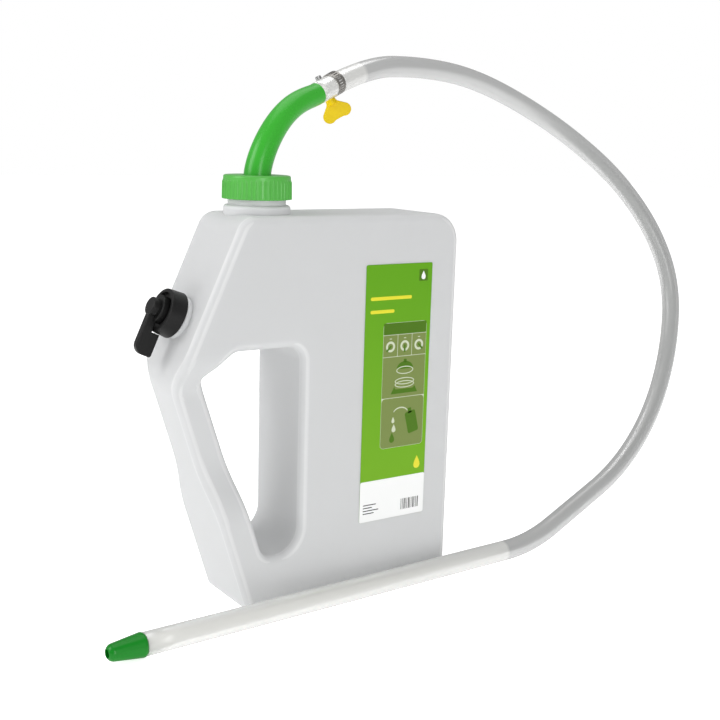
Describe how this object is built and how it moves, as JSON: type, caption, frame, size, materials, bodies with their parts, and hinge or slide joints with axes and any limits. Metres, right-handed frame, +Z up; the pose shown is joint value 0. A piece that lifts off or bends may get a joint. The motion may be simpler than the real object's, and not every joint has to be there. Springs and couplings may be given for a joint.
{
  "type": "calf feeding bottle",
  "caption": "Flat grip bottle for drenching calves, with a screw cap and bent spout, a clamped clear hose with a stiff probe, and a lever air valve on its sloping back.",
  "frame": {"origin": "on the underside of the bottle, straight below the centre of the neck", "axes": "+Z up along the neck, +X from the grip to the front of the bottle, Y through the bottle's thickness with the label on the -Y face"},
  "size_m": [0.7358, 0.1779, 0.4724],
  "materials": {
    "bottle_plastic": "translucent milky moulded plastic",
    "label_film": "printed plastic film, green field and white foot",
    "cap_green": "moulded green plastic",
    "spout_green": "glossy green moulded plastic",
    "tip_green": "glossy dark green soft plastic",
    "adapter_white": "white moulded plastic",
    "clear_hose": "clear plastic hose",
    "clamp_steel": "stainless strip",
    "screw_steel": "zinc plated steel",
    "key_yellow": "yellow moulded plastic",
    "valve_black": "black moulded plastic",
    "seal_rubber": "rubber"
  },
  "bodies": {
    "bottle_body": {"bottle": "bottle_plastic", "front_label": "label_film", "vent_gasket": "seal_rubber", "vent_seat": "valve_black"},
    "head": {"spout_elbow": "spout_green", "cap_gasket": "seal_rubber", "hose_adapter": "adapter_white", "feeding_hose": "clear_hose", "probe_stiffener": "adapter_white", "probe_tip": "tip_green", "clamp_band": "clamp_steel", "clamp_housing": "clamp_steel"},
    "cap": {"cap_nut": "cap_green"},
    "key": {"clamp_screw": "screw_steel", "clamp_wing_key": "key_yellow"},
    "collar": {"vent_collar": "valve_black"},
    "lever": {"vent_lever": "valve_black", "vent_seal_ring": "seal_rubber", "vent_retainer": "valve_black"}
  },
  "joints": [
    {"name": "cap_lift", "type": "slide", "parent": "bottle_body", "child": "head", "axis": [0, 0, 1], "range_m": [0, 0.05]},
    {"name": "cap_turn", "type": "hinge", "parent": "head", "child": "cap", "pos_m": [0, 0, 0.355], "axis": [0, 0, 1], "continuous": true},
    {"name": "key_turn", "type": "hinge", "parent": "head", "child": "key", "pos_m": [0.08621, 0.03646, 0.4378], "axis": [-0.4514, 0.2272, 0.8629], "continuous": true},
    {"name": "lever_turn", "type": "hinge", "parent": "bottle_body", "child": "lever", "pos_m": [-0.06928, 0, 0.2508], "axis": [-0.9106, 0, 0.4134], "range_deg": [-45, 45]},
    {"name": "collar_turn", "type": "hinge", "parent": "bottle_body", "child": "collar", "pos_m": [-0.06928, 0, 0.2508], "axis": [-0.9106, 0, 0.4134], "continuous": true}
  ]
}
